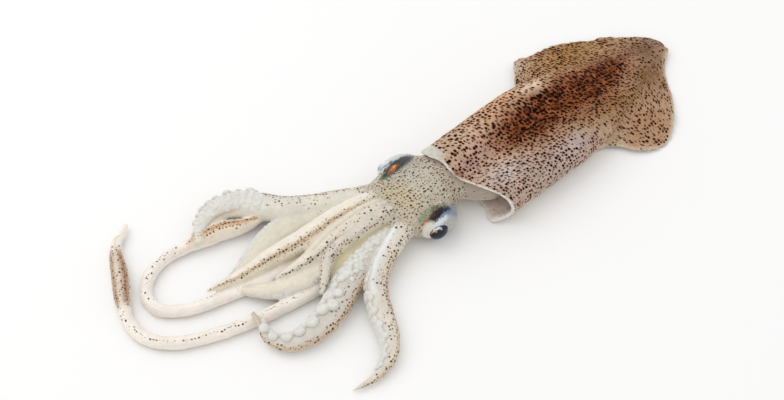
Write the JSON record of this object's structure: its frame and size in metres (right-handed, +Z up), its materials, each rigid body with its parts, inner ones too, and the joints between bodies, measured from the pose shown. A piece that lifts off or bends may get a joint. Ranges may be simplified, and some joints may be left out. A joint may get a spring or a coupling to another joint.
{
  "type": "whole raw squid",
  "caption": "Whole raw loligo squid lying belly down, with a finned mantle, an open mantle mouth, a head with eyes, spread arms and long curled tentacles",
  "frame": {"origin": "on the table under the middle of the mantle", "axes": "+X along the mantle from the head to the tail, +Y to the squid's far side in the picture, +Z up off the table"},
  "size_m": [0.2972, 0.14, 0.022],
  "materials": {
    "skin": "wet mottled skin",
    "flesh": "wet translucent cream flesh",
    "sucker": "wet pearly flesh",
    "eye": "wet dark lens"
  },
  "bodies": {
    "root": {"squid": "skin"}
  },
  "joints": []
}
